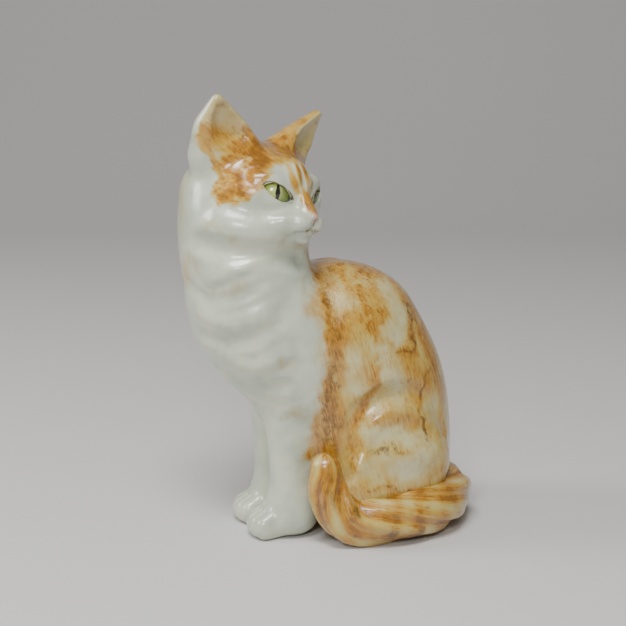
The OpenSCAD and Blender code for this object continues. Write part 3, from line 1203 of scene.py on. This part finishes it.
class CAT_OT_legs(bpy.types.Operator):
    """Take the forelegs and the hind paw out of the casting"""
    bl_idname = "cat.legs"
    bl_label = "Forelegs and hind paw"

    def execute(self, context):
        for side in ("left", "right"):
            leg = part_of(bench["cast"], side + "_leg_and_paw", keep=[bench[side + "_leg"], bench[side]])
            finished(painted(leg), side + "_foreleg", bench["glaze"])
        paw = part_of(bench["cast"], "hind_paw", keep=[bench["paw"]],
                      remove=[bench["left_leg"], bench["right_leg"]])
        finished(painted(paw), "right_hind_paw", bench["glaze"])
        return {"FINISHED"}


class CAT_OT_tail(bpy.types.Operator):
    """Model the tail that curls round the left side"""
    bl_idname = "cat.tail"
    bl_label = "Tail"

    def execute(self, context):
        tail = remeshed(made_of(lambda bm: add_flow(bm, TAIL), "tail_mass"), 1.0, 8)
        comb_tail(tail.data)
        ground = ground_slab()
        tail = combined(tail, ground, "DIFFERENCE")
        tail = combined(tail, bench["cast"], "DIFFERENCE")
        tail.name = "curled_tail"
        discard(ground)
        paint_tail(tail.data)
        finished(tail, "tail", bench["glaze"])
        return {"FINISHED"}


class CAT_OT_eyes(bpy.types.Operator):
    """Blow the glass eyes and paint their irises"""
    bl_idname = "cat.eyes"
    bl_label = "Glass eyes"

    def execute(self, context):
        settings = context.scene.cat
        glass = eye_glass_material()
        cement = plain("eye_cement", settings.cement, 0.9, 300)
        for name, side in (("left", 1), ("right", -1)):
            lens = new_object(name + "_lens", lens_mesh(side, 0, 0))
            finished(lens, name + "_eye_glass", glass)
            iris = new_object(name + "_iris", lens_mesh(side, IRIS_DROP, IRIS_SLIM))
            finished(iris, name + "_eye_iris", iris_material(settings, name + "_iris", side))
            cad_finish(name + "_eye_cement", cement)
        return {"FINISHED"}


class CAT_OT_base(bpy.types.Operator):
    """Finish the disc that closes the base"""
    bl_idname = "cat.base"
    bl_label = "Base disc"

    def execute(self, context):
        cad_finish("base_disc", plain("bisque", context.scene.cat.clay, 0.85, 220))
        return {"FINISHED"}


class CAT_OT_stage(bpy.types.Operator):
    """Lay the floor, set the lights and place the camera"""
    bl_idname = "cat.stage"
    bl_label = "Stage"

    def execute(self, context):
        lay_floor(context.scene.cat)
        light_it()
        place_camera()
        return {"FINISHED"}


STEPS = (CAT_OT_cast, CAT_OT_torso, CAT_OT_head, CAT_OT_ears, CAT_OT_legs, CAT_OT_tail, CAT_OT_eyes,
         CAT_OT_base, CAT_OT_stage)


class CAT_PT_panel(bpy.types.Panel):
    bl_idname = "CAT_PT_panel"
    bl_label = "Ceramic cat"
    bl_space_type = "VIEW_3D"
    bl_region_type = "UI"
    bl_category = "Cat"

    def draw(self, context):
        for step in STEPS:
            self.layout.operator(step.bl_idname)
        for name in CatSettings.__annotations__:
            self.layout.prop(context.scene.cat, name)


CLASSES = (CatSettings, *STEPS, CAT_PT_panel)


def register():
    for made in CLASSES:
        bpy.utils.register_class(made)
    bpy.types.Scene.cat = PointerProperty(type=CatSettings)


def unregister():
    del bpy.types.Scene.cat
    for made in reversed(CLASSES):
        bpy.utils.unregister_class(made)


def main():
    register()
    for step in STEPS:
        group, call = step.bl_idname.split(".")
        getattr(getattr(bpy.ops, group), call)()
    for mass in bench.values():
        if isinstance(mass, bpy.types.Object):
            discard(mass)


if __name__ == "__main__":
    main()
